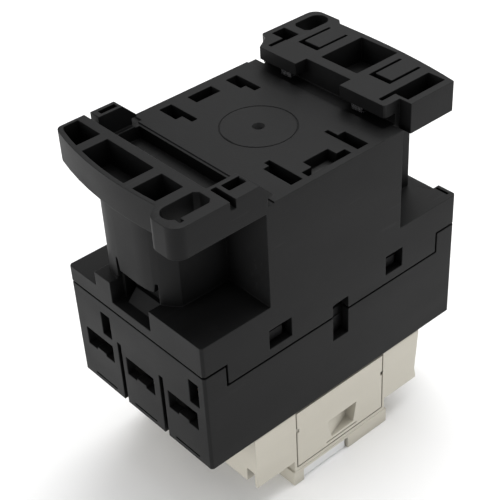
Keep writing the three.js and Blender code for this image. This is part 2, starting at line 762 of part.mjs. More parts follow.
function labelPlate() {
  const w = COVER_WIDTH / 2 - 2;
  const [y0, y1] = [cy(LABEL_FROM) + 1.6, cy(LABEL_TO) - 1.6];
  return block(-w, w, y0, y1, COVER_FRONT + 1.4, COVER_FRONT + 1.9);
}

function sideDoor(side) {
  const outer = COVER_WIDTH / 2;
  const top = DOOR_PIVOT + 5.4;
  const x = span(side, DOOR_INNER, outer);
  const panel = block(...x, cy(-DOOR_HALF), cy(DOOR_HALF), DOOR_FRONT, top);
  const nicks = ENDS.map((end) => {
    const y = cy(end * DOOR_HALF);
    const around = [y - 0.6, y + 0.6, DOOR_PIVOT - 0.6, DOOR_PIVOT + 0.6];
    return block(...span(side, outer - 0.4, outer + 1), ...around);
  });
  const reach = DOOR_HALF + 1.2;
  const pins = rodAlongY(side * PIVOT_X, DOOR_PIVOT, 0.85, cy(-reach), cy(reach));
  const body = join(cut(panel, ...nicks), pins, fingerPocket(side, FINGER_WALL));
  return cut(body, fingerPocket(side, 0), doorLine(side));
}

// Fingernail pocket near the door's free edge: flush at its line side, deep at its load side.
// With a wall, the swelling on the inside that the pocket is sunk into.
function fingerPocket(side, wall) {
  const outer = COVER_WIDTH / 2;
  const [y0, y1] = [cy(-4.3), cy(5.1)];
  const fall = FINGER_DEEP / (y1 - y0);
  const rim = wall > 0 ? DOOR_INNER + 0.2 : outer + 1;
  const end = y1 + wall + 1;
  const start = y0 + (outer - wall - rim) / fall;
  const bottom = outer - wall - fall * (end - y0);
  const wedge = [[rim, start], [rim, end], [bottom, end]].map(([x, y]) => [side * x, y]);
  const profile = [
    [y0 - wall, -67.7 + wall],
    [cy(-2.8) - wall, -73.2 - wall],
    [cy(4.1) + wall, -73.1 - wall],
    [y1 + wall, -67.6 + wall],
  ];
  const prism = alongX(profile, ...span(side, bottom - 1, rim));
  return prism.intersect(plate(outline(wedge), DOOR_FRONT, DOOR_PIVOT));
}

function doorLine(side) {
  const x = [side * (COVER_WIDTH / 2 - 0.35), side * (COVER_WIDTH / 2 + 1)].sort((a, b) => a - b);
  return block(...x, cy(-4.6), cy(5.2), -74.2, -73.9);
}

// ---------------------------------------------------------------- magnet and coil
// An E shape in the X-Z plane with its legs reaching from the yoke to the faces.
function eCore(yokeOuter, yokeInner, face, middleFace) {
  const [w, leg, mid] = [CORE_HALF, CORE_LEG, CORE_MIDDLE];
  const profile = [
    [-w, yokeOuter],
    [w, yokeOuter],
    [w, face],
    [w - leg, face],
    [w - leg, yokeInner],
    [mid, yokeInner],
    [mid, middleFace],
    [-mid, middleFace],
    [-mid, yokeInner],
    [-w + leg, yokeInner],
    [-w + leg, face],
    [-w, face],
  ];
  return profile;
}

function fixedCore() {
  const profile = eCore(CORE_TOP, CORE_TOP - CORE_YOKE, CORE_FACE, CORE_FACE);
  return alongY(profile.reverse(), -CORE_DEPTH / 2, CORE_DEPTH / 2);
}

function armature() {
  const profile = eCore(ARMATURE_FRONT, ARMATURE_YOKE, ARMATURE_FACE, ARMATURE_FACE);
  const stack = alongY(profile, -CORE_DEPTH / 2, CORE_DEPTH / 2);
  const pin = rodAlongY(0, PIN_Z, 1.5 + GAP, -CORE_DEPTH, CORE_DEPTH);
  return stack.subtract(pin);
}

function shadingRing(side) {
  const x = side * (CORE_HALF - CORE_LEG / 2);
  const [width, length] = [CORE_LEG + 2 * GAP, CORE_DEPTH + 2 * GAP];
  const outer = slab(x, 0, width + 1.2, length + 1.2, CORE_FACE + 0.8, CORE_FACE + 2.4);
  return outer.subtract(slab(x, 0, width, length, CORE_FACE, CORE_FACE + 3));
}

function coilBobbin() {
  const half = CORE_HALF - CORE_LEG - GAP - 1; // clear of the outer legs and rings
  const bore = [2 * (CORE_MIDDLE + GAP), CORE_DEPTH + 2 * GAP];
  const flange = (z) => slab(0, 0, 2 * half, 2 * BOBBIN_HALF, z, z + 1);
  const body = join(
    slab(0, 0, bore[0] + 1.8, bore[1] + 1.8, BOBBIN_FRONT, BOBBIN_TOP),
    flange(BOBBIN_TOP - 1),
    flange(BOBBIN_FRONT),
  );
  return body.subtract(slab(0, 0, ...bore, BOBBIN_FRONT - 1, BOBBIN_TOP + 1));
}

function coilWinding() {
  const half = CORE_HALF - CORE_LEG - GAP - 1.4;
  const hole = [2 * (CORE_MIDDLE + GAP) + 1.8 + 2 * GAP, CORE_DEPTH + 1.8 + 4 * GAP];
  const [z0, z1] = [BOBBIN_FRONT + 1 + GAP, BOBBIN_TOP - 1 - GAP];
  const end = BOBBIN_HALF - 0.6;
  const coil = plate(roundedRect(-half, half, -end, end, 3), z0, z1, 4);
  return coil.subtract(slab(0, 0, ...hole, z0 - 1, z1 + 1));
}

// A brass lead from the coil down to its control terminal.
function coilLead(end) {
  const foot = [cy(end * (COVER_HALF - 2.4)), end * 17.4].sort((p, q) => p - q);
  const [z0, z1] = [BOBBIN_FRONT - 0.4 - GAP, BOBBIN_FRONT - GAP];
  const top = [LEAD_Y, LEAD_Y + 1.6];
  const coilEdge = CORE_HALF - CORE_LEG - GAP - 2.4;
  const blade = (a, b, low, high) =>
    block(-LEAD_X, -LEAD_X + LEAD_THICK, ...span(end, a, b), low, high);
  const strip = join(
    block(-LEAD_X, -coilEdge, ...span(end, ...top), z0 - 0.2, z1),
    blade(...top, -44, z1),
    blade(LEAD_Y, 18.6, -44, -42.4),
    blade(17.4, 18.6, CONTROL_STRIP - 1, -42.4),
    block(-LEAD_X, -POLE_PITCH + 2.8, ...foot, CONTROL_STRIP - 1, CONTROL_STRIP),
  );
  const hole = rod(-POLE_PITCH, cy(end * CONTROL_OFFSET), CONTROL_SHANK + GAP, -70, -60, 12);
  return strip.subtract(hole);
}

// ---------------------------------------------------------------- moving assembly
const PIN_Z = (ARMATURE_YOKE + ARMATURE_FRONT) / 2;
const AUX_X = POLE_PITCH - 5.8; // auxiliary contacts, between the poles
const AUX_WINDOW = [-70.6, -62.4];

function contactCarrier() {
  const cages = POLES.map((x) => {
    const frame = slab(x, 0, 10, 9.6, CAGE_FLOOR - CAGE_BASE, PLATFORM_FRONT + 1);
    const seat = BRIDGE_TOP - TIP_THICK + GAP;
    return frame.subtract(slab(x, 0, 7, 12, CAGE_FLOOR, seat));
  });
  const column = slab(0, 0, 24, 6.8, -72.6, CAGE_FLOOR - 1);
  const windows = [-AUX_X, AUX_X].map((x) =>
    block(x - 2.3, x + 2.3, -6, 6, ...AUX_WINDOW),
  );
  const nose = join(
    block(-NOSE_X, NOSE_X, ...NOSE_Y, COVER_FRONT + 0.8, CAGE_FLOOR - 1.2),
    block(-NOSE_X, NOSE_X, 2, NOSE_Y[1], -61, CAGE_FLOOR - 1.2),
  );
  const tie = slab(0, 0, 2 * POLE_PITCH, 6.8, CAGE_FLOOR - 1.8, CAGE_FLOOR - 0.8);
  const ears = ENDS.map((end) => {
    const y = [end * (CORE_DEPTH / 2 + GAP), end * (CORE_DEPTH / 2 + 2)].sort((a, b) => a - b);
    return block(-3.6, 3.6, ...y, PLATFORM_FRONT + 1, PIN_Z + 2.6);
  });
  const body = join(
    slab(0, 0, 38, 14.6, PLATFORM_FRONT, PLATFORM_TOP),
    slab(0, 0, 12, 2 * RETURN_Y + 6.8, PLATFORM_FRONT, PLATFORM_TOP),
    ...cages,
    tie,
    column,
    nose,
    ...ears,
  );
  const pin = rodAlongY(0, PIN_Z, 1.5, -12, 12);
  return cut(body, ...windows, pin);
}

function armaturePin() {
  return rodAlongY(0, PIN_Z, 1.5 - GAP, -CORE_DEPTH / 2 - 1.9, CORE_DEPTH / 2 + 1.9);
}

// A moving bridge with a contact tip on each end.
function mainBridge(x) {
  const top = BRIDGE_TOP - TIP_THICK;
  const reach = BAR_INNER + TIP_LENGTH;
  const strip = slab(x, 0, BRIDGE_WIDTH, 2 * reach, top - 1, top);
  const tips = ENDS.map((end) => {
    const y = [end * BAR_INNER, end * reach].sort((a, b) => a - b);
    return block(x - 2.2, x + 2.2, ...y, top - 0.5, BRIDGE_TOP);
  });
  return join(strip, ...tips);
}

function auxBridge(x, z) {
  return slab(x, 0, 3.6, 19, z, z + 0.6);
}

// ---------------------------------------------------------------- terminals
// A power bar: contact tip inside, threaded hole under the cable entry.
function powerBar(x, end) {
  const low = BAR_TOP - BAR_THICK;
  const half = BAR_WIDTH / 2;
  const strip = block(x - half, x + half, ...span(end, BAR_INNER, HY - WALL - 1), low, BAR_TOP);
  const tip = block(
    x - 2.2,
    x + 2.2,
    ...span(end, BAR_INNER, BAR_INNER + TIP_LENGTH),
    low - TIP_THICK,
    low + 0.2,
  );
  const hole = rod(x, end * TERMINAL_Y, POWER_SHANK + GAP, low - 2, BAR_TOP + 2, 12);
  return cut(join(strip, tip), hole);
}

// A cross-slotted screw with its captive washer; the head faces the front.
function terminalScrew(x, y, shank, head, tip, seat, headHeight) {
  const face = seat - headHeight;
  const screw = turned(x, y, [
    [0, face],
    [head - 0.4, face],
    [head, face + 0.4],
    [head, seat],
    [head - 0.1, seat],
    [head - 0.1, seat + 0.7],
    [shank, seat + 0.7],
    [shank, tip - 0.5],
    [shank - 0.4, tip],
    [0, tip],
  ]);
  const slot = slab(x, y, 0.9, 2 * head - 1, face - 1, face + 0.9);
  const cross = slab(x, y, 2 * head - 2, 0.9, face - 1, face + 0.9);
  return cut(screw, slot, cross);
}

// Fixed auxiliary contact: a pad under its screw, then inwards to the bridge.
function auxTerminal(x, barX, end, contactZ) {
  const sorted = (a, b) => [Math.min(a, b), Math.max(a, b)];
  const [low, high] = [CONTROL_STRIP - 1, CONTROL_STRIP];
  const inner = cy(end * 16.6);
  const bar = [barX - 1.7, barX + 1.7];
  const padX = [x - 3, x > 0 ? 20.4 : x + 4.4]; // as far as the wire entry
  const pad = block(...padX, ...sorted(cy(end * (COVER_HALF - 2.4)), inner), low, high);
  const linkX = [Math.min(x, barX) - 1.7, Math.max(x, barX) + 1.7];
  const link = block(...linkX, ...sorted(inner, cy(end * 17.8)), low, high);
  const arm = block(...bar, ...sorted(end * 14.2, cy(end * 17.8)), low, high);
  const height = sorted(contactZ, contactZ > high ? low : high);
  height[1] = Math.max(height[1], contactZ + 0.8);
  const post = block(...bar, ...span(end, 14.2, 15.2), ...height);
  const finger = block(...bar, ...span(end, 7, 14.4), contactZ, contactZ + 0.8);
  const hole = rod(x, cy(end * CONTROL_OFFSET), CONTROL_SHANK + GAP, -70, -60, 12);
  return cut(join(pad, link, arm, post, finger), hole);
}

// Leaf spring in a load-end hook; its turned-up nose bears on the rail's edge.
function railSpring(x) {
  const nose = RAIL / 2 - 0.2 + 0.1;
  const tail = nose + 12;
  const profile = [
    [nose, 0.4],
    [nose + 0.7, 0.3],
    [nose + 1.7, 0.3],
    [nose + 2.4, 0.5],
    [tail, 0.5],
    [tail, 1],
    [nose + 2.3, 1],
    [nose + 1.6, 0.8],
    [nose + 0.7, 0.8],
    [nose + 0.5, 1.9],
    [nose, 1.9],
  ];
  return alongX(profile, x - SPRING_WIDTH / 2, x + SPRING_WIDTH / 2);
}

// ---------------------------------------------------------------- assembly
addPiece("base_housing", baseHousing(), BLACK);
addPiece("contact_housing", contactHousing(), BLACK);
addPiece("front_cover", frontCover(), CREAM);
addPiece("label_holder", labelHolder(), CLEAR);
addPiece("label_plate", labelPlate(), LABEL);
addPiece("side_door_left", sideDoor(-1), CREAM);
addPiece("side_door_right", sideDoor(1), CREAM);
addPiece("rail_spring_left", railSpring(-SPRING_X), SPRING_STEEL);
addPiece("rail_spring_right", railSpring(SPRING_X), SPRING_STEEL);

addPiece("core_cushion", slab(0, 0, 36, 12, CORE_TOP + GAP, -SEAT_THICK - GAP), ELASTOMER);
addPiece("fixed_core", fixedCore(), LAMINATION);
addPiece("shading_ring_left", shadingRing(-1), COPPER);
addPiece("shading_ring_right", shadingRing(1), COPPER);
addPiece("coil_bobbin", coilBobbin(), NYLON);
addPiece("coil_winding", coilWinding(), TAPE);
addPiece("coil_lead_line", coilLead(-1), BRASS);
addPiece("coil_lead_load", coilLead(1), BRASS);

addPiece("contact_carrier", contactCarrier(), DARK_GREY);
addPiece("armature", armature(), LAMINATION);
addPiece("armature_pin", armaturePin(), ZINC);
ENDS.forEach((end) => {
  const name = end < 0 ? "return_spring_line" : "return_spring_load";
  const made = spring(0, end * RETURN_Y, 2.6, 0.7, PLATFORM_TOP + GAP, BOBBIN_FRONT - GAP, 5);
  addPiece(name, made, SPRING_STEEL);
});

const SPRING_TOP = BRIDGE_TOP - TIP_THICK - 1 - GAP;
POLES.forEach((x, i) => {
  const pole = i + 1;
  addPiece(`main_bridge_${pole}`, mainBridge(x), COPPER);
  const made = spring(x, 0, 1.9, 0.6, CAGE_FLOOR + GAP, SPRING_TOP, 3);
  addPiece(`contact_spring_${pole}`, made, SPRING_STEEL);
});

const AUX_OPEN_Z = -66.6; // normally open bridge
const AUX_CLOSED_Z = -66; // normally closed bridge
addPiece("aux_bridge_open", auxBridge(-AUX_X, AUX_OPEN_Z), BRASS);
addPiece("aux_bridge_closed", auxBridge(AUX_X, AUX_CLOSED_Z), BRASS);
const openSpring = [AUX_WINDOW[0] + GAP, AUX_OPEN_Z - GAP];
const closedSpring = [AUX_CLOSED_Z + 0.6 + GAP, AUX_WINDOW[1] - GAP];
addPiece("aux_spring_open", spring(-AUX_X, 0, 1.2, 0.4, ...openSpring, 3), SPRING_STEEL);
addPiece("aux_spring_closed", spring(AUX_X, 0, 1.2, 0.4, ...closedSpring, 3), SPRING_STEEL);

ENDS.forEach((end) => {
  const row = end < 0 ? "line" : "load";
  POLES.forEach((x, i) => {
    addPiece(`${row}_terminal_${i + 1}`, powerBar(x, end), COPPER);
    const y = end * TERMINAL_Y;
    const screw = terminalScrew(x, y, POWER_SHANK, POWER_HEAD, BAR_TOP + 1.4, -50.2, 2.6);
    addPiece(`${row}_screw_${i + 1}`, screw, ZINC);
    const controlY = cy(end * CONTROL_OFFSET);
    const top = CONTROL_STRIP + 1.6;
    const control = terminalScrew(x, controlY, CONTROL_SHANK, CONTROL_HEAD, top, -69.4, 1.8);
    addPiece(`control_${row}_screw_${i + 1}`, control, ZINC);
  });
  addPiece(`aux_open_${row}`, auxTerminal(0, -AUX_X, end, AUX_OPEN_Z + 0.6 + CONTACT_GAP), BRASS);
  const closedZ = AUX_CLOSED_Z - GAP - 0.8;
  addPiece(`aux_closed_${row}`, auxTerminal(POLE_PITCH, AUX_X, end, closedZ), BRASS);
});

export default contactor;
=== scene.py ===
import json
import math

import bmesh
import bpy
from mathutils import Euler, Matrix, Vector


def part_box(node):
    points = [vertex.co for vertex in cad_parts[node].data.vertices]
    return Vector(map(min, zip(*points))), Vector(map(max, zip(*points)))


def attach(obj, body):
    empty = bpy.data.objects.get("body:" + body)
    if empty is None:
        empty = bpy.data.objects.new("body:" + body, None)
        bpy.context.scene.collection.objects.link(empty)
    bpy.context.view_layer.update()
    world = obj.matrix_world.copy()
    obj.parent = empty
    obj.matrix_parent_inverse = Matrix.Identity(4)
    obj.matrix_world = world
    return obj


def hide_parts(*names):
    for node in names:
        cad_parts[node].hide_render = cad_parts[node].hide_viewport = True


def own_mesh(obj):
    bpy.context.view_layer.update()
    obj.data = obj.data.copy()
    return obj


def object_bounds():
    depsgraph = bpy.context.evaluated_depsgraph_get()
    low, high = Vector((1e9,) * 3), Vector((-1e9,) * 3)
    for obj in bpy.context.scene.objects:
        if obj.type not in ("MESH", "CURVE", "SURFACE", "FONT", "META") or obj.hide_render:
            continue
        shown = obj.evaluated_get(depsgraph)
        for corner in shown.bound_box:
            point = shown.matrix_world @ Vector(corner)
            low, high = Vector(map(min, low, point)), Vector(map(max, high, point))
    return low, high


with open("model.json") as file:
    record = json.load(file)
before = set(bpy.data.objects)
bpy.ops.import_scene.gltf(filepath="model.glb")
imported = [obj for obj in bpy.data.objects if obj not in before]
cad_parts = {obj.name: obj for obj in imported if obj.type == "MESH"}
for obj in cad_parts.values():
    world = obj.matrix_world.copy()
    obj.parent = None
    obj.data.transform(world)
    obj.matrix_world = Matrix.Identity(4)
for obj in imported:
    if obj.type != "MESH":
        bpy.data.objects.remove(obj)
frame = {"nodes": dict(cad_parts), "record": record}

# A rail-mounted contactor lying on its front face, rail side up.
# The housings, cover and doors are finished copies of their solids; springs and screws are
# made new; the other inner pieces keep their solids and take a material here.

CAD_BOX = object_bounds()
NODES = frame["nodes"]
BODY_OF = {n: b for b, members in frame["record"]["behaviour"]["bodies"].items() for n in members}
MM = 0.001
POLES = (1, 2, 3)
ENDS = ("line", "load")


# ---------------------------------------------------------------- node helpers
def put(tree, kind, settings=None, **inputs):
    """One shader node with its settings and inputs; an input is a value or a socket to link."""
    made = tree.nodes.new(kind)
    for key, value in (settings or {}).items():
        setattr(made, key, value)
    for key, value in inputs.items():
        plug(tree, made.inputs[key.replace("_", " ")], value)
    return made


def plug(tree, socket, value):
    if isinstance(value, bpy.types.NodeSocket):
        tree.links.new(value, socket)
    else:
        socket.default_value = value


def calc(tree, operation, a, b=0.0, clamp=False):
    made = tree.nodes.new("ShaderNodeMath")
    made.operation = operation
    made.use_clamp = clamp
    plug(tree, made.inputs[0], a)
    plug(tree, made.inputs[1], b)
    return made.outputs[0]


def ranged(tree, value, low, high, to_low=0.0, to_high=1.0, smooth=False):
    settings = {"interpolation_type": "SMOOTHSTEP" if smooth else "LINEAR", "clamp": True}
    made = put(tree, "ShaderNodeMapRange", settings, Value=value)
    made.inputs["From Min"].default_value = low
    made.inputs["From Max"].default_value = high
    made.inputs["To Min"].default_value = to_low
    made.inputs["To Max"].default_value = to_high
    return made.outputs["Result"]


def blended(tree, share, first, second, blend="MIX"):
    made = tree.nodes.new("ShaderNodeMix")
    made.data_type = "RGBA"
    made.blend_type = blend
    plug(tree, made.inputs["Factor"], share)
    plug(tree, made.inputs[6], first)
    plug(tree, made.inputs[7], second)
    return made.outputs[2]


def noise(tree, where, scale, detail=2.0, roughness=0.5):
    made = put(tree, "ShaderNodeTexNoise", Vector=where, Scale=scale, Detail=detail)
    made.inputs["Roughness"].default_value = roughness
    return made.outputs["Fac"]


def stretched(tree, where, scale, turn=(0.0, 0.0, 0.0)):
    made = put(tree, "ShaderNodeMapping", Vector=where, Scale=scale)
    made.inputs["Rotation"].default_value = [math.radians(v) for v in turn]
    return made.outputs["Vector"]


def effect(name, inputs, outputs):
    """An empty shader node group; inputs are (name, type, value), outputs (name, type)."""
    group = bpy.data.node_groups.new(name, "ShaderNodeTree")
    for label, kind, value in inputs:
        socket = group.interface.new_socket(label, in_out="INPUT", socket_type=kind)
        if value is not None:
            socket.default_value = value
    for label, kind in outputs:
        group.interface.new_socket(label, in_out="OUTPUT", socket_type=kind)
    return group, group.nodes.new("NodeGroupInput").outputs, group.nodes.new("NodeGroupOutput")


FLOAT, VECTOR = "NodeSocketFloat", "NodeSocketVector"


# ---------------------------------------------------------------- shared effects
def make_edge_wear():
    """Finds outside edges: a mask that is 1 on them, and the normal rounded over them."""
    inputs = [("Radius", FLOAT, 0.0002), ("Patchiness", FLOAT, 0.5), ("Vector", VECTOR, None)]
    group, given, out = effect("edge wear", inputs, [("Mask", FLOAT), ("Normal", VECTOR)])
    rounded = put(group, "ShaderNodeBevel", {"samples": 4}, Radius=given["Radius"])
    flat = group.nodes.new("ShaderNodeNewGeometry").outputs["True Normal"]
    dot = put(group, "ShaderNodeVectorMath", {"operation": "DOT_PRODUCT"})
    plug(group, dot.inputs[0], rounded.outputs["Normal"])
    plug(group, dot.inputs[1], flat)
    edge = ranged(group, dot.outputs["Value"], 0.995, 0.86, smooth=True)
    patches = ranged(group, noise(group, given["Vector"], 420.0, 3.0), 0.36, 0.62)
    kept = calc(group, "SUBTRACT", 1.0, calc(group, "MULTIPLY", given["Patchiness"], patches))
    plug(group, out.inputs["Mask"], calc(group, "MULTIPLY", edge, kept))
    plug(group, out.inputs["Normal"], rounded.outputs["Normal"])
    return group


def make_mould_grain():
    """Spark-eroded mould texture: a fine height, and a slow tone from the flow of the melt."""
    inputs = [("Vector", VECTOR, None), ("Grain", FLOAT, 3200.0), ("Flow", FLOAT, 60.0)]
    group, given, out = effect("mould grain", inputs, [("Height", FLOAT), ("Tone", FLOAT)])
    fine = noise(group, given["Vector"], given["Grain"], 2.0, 0.6)
    pits = put(
        group, "ShaderNodeTexVoronoi", {"feature": "SMOOTH_F1"},
        Vector=given["Vector"], Scale=given["Grain"], Smoothness=0.6,
    )
    height = calc(group, "ADD", fine, calc(group, "MULTIPLY", pits.outputs["Distance"], 0.5))
    slow = noise(group, stretched(group, given["Vector"], (1.0, 0.55, 1.6)), given["Flow"], 3.0)
    plug(group, out.inputs["Height"], height)
    plug(group, out.inputs["Tone"], ranged(group, slow, 0.3, 0.7))
    return group


def make_handling_marks():
    """Rubs and hairline scratches from handling, as a mask."""
    inputs = [("Vector", VECTOR, None), ("Amount", FLOAT, 0.5)]
    group, given, out = effect("handling marks", inputs, [("Mask", FLOAT)])
    total = None
    for turn, scale in (((12, 8, 34), (900.0, 38.0, 500.0)), ((-25, 14, -58), (760.0, 30.0, 640.0))):
        lines = noise(group, stretched(group, given["Vector"], scale, turn), 1.0, 1.0)
        thin = ranged(group, lines, 0.7, 0.76, smooth=True)
        total = thin if total is None else calc(group, "MAXIMUM", total, thin)
    where = ranged(group, noise(group, given["Vector"], 95.0, 2.0), 0.5, 0.66, smooth=True)
    rub = ranged(group, noise(group, given["Vector"], 240.0, 5.0, 0.7), 0.56, 0.75)
    marks = calc(group, "ADD", calc(group, "MULTIPLY", total, where), calc(group, "MULTIPLY", rub, 0.35))
    plug(group, out.inputs["Mask"], calc(group, "MULTIPLY", marks, given["Amount"], clamp=True))
    return group


def make_drawn_lines():
    """Fine lines along one direction, as on rolled or drawn metal."""
    inputs = [("Vector", VECTOR, None), ("Stretch", VECTOR, (1.0, 1.0, 1.0)), ("Fineness", FLOAT, 900.0)]
    group, given, out = effect("drawn lines", inputs, [("Height", FLOAT), ("Tone", FLOAT)])
    scaled = put(group, "ShaderNodeVectorMath", {"operation": "MULTIPLY"})
    plug(group, scaled.inputs[0], given["Vector"])
    plug(group, scaled.inputs[1], given["Stretch"])
    lines = noise(group, scaled.outputs["Vector"], given["Fineness"], 3.0, 0.65)
    cloud = noise(group, given["Vector"], 300.0, 3.0)
    plug(group, out.inputs["Height"], lines)
    plug(group, out.inputs["Tone"], ranged(group, cloud, 0.3, 0.7))
    return group


def make_painted_recess_shade():
    """Painted shade: darkens the colour in the mouths of slots and pockets, more where they are more
    closed in.
    """
    inputs = [("Reach", FLOAT, 0.004), ("Depth", FLOAT, 0.7)]
    group, given, out = effect("painted recess shade", inputs, [("Share", FLOAT)])
    # Painted shade: ambient occlusion finds the recesses whose colour is darkened.
    open_sky = put(group, "ShaderNodeAmbientOcclusion", {"samples": 6}, Distance=given["Reach"])
    closed = ranged(group, open_sky.outputs["AO"], 0.9, 0.3, smooth=True)
    plug(group, out.inputs["Share"], calc(group, "MULTIPLY", closed, given["Depth"]))
    return group


EDGE_WEAR = make_edge_wear()
PAINTED_RECESS_SHADE = make_painted_recess_shade()
MOULD_GRAIN = make_mould_grain()
HANDLING_MARKS = make_handling_marks()
DRAWN_LINES = make_drawn_lines()


def use(tree, group, **inputs):
    made = tree.nodes.new("ShaderNodeGroup")
    made.node_tree = group
    for key, value in inputs.items():
        plug(tree, made.inputs[key], value)
    return made.outputs


def started(name):
    """A new material: its tree, its Principled node and object coordinates."""
    material = bpy.data.materials.new(name)
    material.use_nodes = True
    tree = material.node_tree
    shader = tree.nodes["Principled BSDF"]
    where = tree.nodes.new("ShaderNodeTexCoord").outputs["Object"]
    return material, tree, shader, where


def raise_surface(tree, shader, height, distance, strength=1.0, normal=None):
    """Ends a finish with its bump, laid over a rounded normal if there is one."""
    bump = put(tree, "ShaderNodeBump", Height=height, Distance=distance, Strength=strength)
    if normal is not None:
        tree.links.new(normal, bump.inputs["Normal"])
    tree.links.new(bump.outputs["Normal"], shader.inputs["Normal"])


def feed(tree, shader, label, value):
    tree.links.new(value, shader.inputs[label])


# ---------------------------------------------------------------- finishes
def moulded_plastic(name, colour, dusty, worn, roughness, grain=3200.0, depth=0.000012, marks=0.4,
                    edge=0.6, specular=0.5, recess=0.5):
    """Injection-moulded plastic: grain, melt tone, rubbed edges, light marks and painted shade in
    recesses.
    """
    material, tree, shader, where = started(name)
    texture = use(tree, MOULD_GRAIN, Vector=where, Grain=grain)
    edges = use(tree, EDGE_WEAR, Vector=where, Radius=0.00022, Patchiness=0.6)
    rubs = use(tree, HANDLING_MARKS, Vector=where, Amount=marks)
    shade = use(tree, PAINTED_RECESS_SHADE, Reach=0.005, Depth=recess)
    base = blended(tree, texture["Tone"], colour, dusty)
    marked = blended(tree, calc(tree, "MULTIPLY", rubs["Mask"], 0.6), base, worn)
    rubbed = blended(tree, calc(tree, "MULTIPLY", edges["Mask"], edge), marked, worn)
    # Painted shade: in recesses the colour is mixed towards a quarter of its own value, as strongly as
    # recess.
    deep = [c * 0.25 for c in colour[:3]] + [1.0]
    feed(tree, shader, "Base Color", blended(tree, shade["Share"], rubbed, deep))
    tone = ranged(tree, texture["Tone"], 0.0, 1.0, roughness - 0.05, roughness + 0.06)
    polished = calc(tree, "SUBTRACT", tone, calc(tree, "MULTIPLY", edges["Mask"], 0.08))
    scuffed = calc(tree, "ADD", polished, calc(tree, "MULTIPLY", rubs["Mask"], 0.1), clamp=True)
    feed(tree, shader, "Roughness", scuffed)
    raise_surface(tree, shader, texture["Height"], depth, normal=edges["Normal"])
    shader.inputs["Specular IOR Level"].default_value = specular
    shader.inputs["IOR"].default_value = 1.5
    return material


def worked_metal(name, colour, shade, roughness, stretch, fineness=900.0, depth=0.000004, edge=0.5):
    """Sheet, wire or turned metal with lines along one direction and brighter edges."""
    material, tree, shader, where = started(name)
    lines = use(tree, DRAWN_LINES, Vector=where, Stretch=stretch, Fineness=fineness)
    edges = use(tree, EDGE_WEAR, Vector=where, Radius=0.00012, Patchiness=0.3)
    base = blended(tree, lines["Tone"], colour, shade)
    in_lines = calc(tree, "MULTIPLY", lines["Height"], 0.3)
    lined = blended(tree, in_lines, base, (0.9, 0.9, 0.9, 1.0), "MULTIPLY")
    lit = [min(1.0, c * 1.35) for c in colour[:3]] + [1.0]
    worn = blended(tree, calc(tree, "MULTIPLY", edges["Mask"], edge), lined, lit)
    feed(tree, shader, "Base Color", worn)
    gloss = ranged(tree, lines["Height"], 0.25, 0.75, roughness - 0.08, roughness + 0.1)
    feed(tree, shader, "Roughness", gloss)
    shader.inputs["Metallic"].default_value = 1.0
    raise_surface(tree, shader, lines["Height"], depth, normal=edges["Normal"])
    return material


def stacked_steel(name, pitch=0.0005):
    """Electrical steel laminations stacked along Y, with varnish in the joints."""
    material, tree, shader, where = started(name)
    along = put(tree, "ShaderNodeSeparateXYZ", Vector=where).outputs["Y"]
    phase = calc(tree, "FRACT", calc(tree, "DIVIDE", along, pitch))
    from_middle = calc(tree, "ABSOLUTE", calc(tree, "SUBTRACT", phase, 0.5))
    joint = ranged(tree, from_middle, 0.36, 0.5, smooth=True)
    cloud = noise(tree, where, 420.0, 4.0, 0.6)
    steel = blended(tree, ranged(tree, cloud, 0.3, 0.7), (0.30, 0.31, 0.33, 1), (0.20, 0.21, 0.23, 1))
    feed(tree, shader, "Base Color", blended(tree, joint, steel, (0.05, 0.04, 0.035, 1)))
    bare = calc(tree, "SUBTRACT", 0.9, calc(tree, "MULTIPLY", joint, 0.7))
    feed(tree, shader, "Metallic", bare)
    feed(tree, shader, "Roughness", ranged(tree, cloud, 0.3, 0.7, 0.32, 0.5))
    raise_surface(tree, shader, calc(tree, "SUBTRACT", 1.0, joint), 0.00004, 0.8)
    return material


def wound_tape(name, width=0.0045):
    """Amber polyester tape lapped round the winding, with the wire's turns showing through."""
    material, tree, shader, where = started(name)
    height = put(tree, "ShaderNodeSeparateXYZ", Vector=where).outputs["Z"]
    lap = calc(tree, "FRACT", calc(tree, "DIVIDE", height, width))
    seam = ranged(tree, lap, 0.0, 0.06, 1.0, 0.0, smooth=True)
    turn = calc(tree, "SINE", calc(tree, "MULTIPLY", height, 2 * math.pi / 0.00035))
    film = blended(tree, noise(tree, where, 260.0, 3.0), (0.42, 0.17, 0.03, 1), (0.30, 0.11, 0.02, 1))
    feed(tree, shader, "Base Color", blended(tree, seam, film, (0.16, 0.06, 0.015, 1)))
    smears = noise(tree, where, 700.0, 2.0)
    feed(tree, shader, "Roughness", ranged(tree, smears, 0.3, 0.7, 0.2, 0.34))
    ridges = calc(tree, "ADD", calc(tree, "MULTIPLY", turn, 0.12), calc(tree, "MULTIPLY", lap, 0.6))
    raise_surface(tree, shader, ridges, 0.00005, 0.7)
    shader.inputs["Coat Weight"].default_value = 0.3
    return material


def clear_cap(name):
    """Clear polycarbonate with a faint cast and polished faces."""
    material, tree, shader, where = started(name)
    edges = use(tree, EDGE_WEAR, Vector=where, Radius=0.0002, Patchiness=0.3)
    haze = noise(tree, where, 500.0, 3.0)
    tint = blended(tree, ranged(tree, haze, 0.3, 0.7), (1.0, 1.0, 1.0, 1), (0.97, 0.98, 0.98, 1))
    feed(tree, shader, "Base Color", blended(tree, edges["Mask"], tint, (1.0, 1.0, 1.0, 1)))
    feed(tree, shader, "Roughness", ranged(tree, haze, 0.3, 0.7, 0.04, 0.12))
    raise_surface(tree, shader, haze, 0.00002, 0.3, edges["Normal"])
    shader.inputs["Transmission Weight"].default_value = 0.2
    shader.inputs["IOR"].default_value = 1.5
    return material


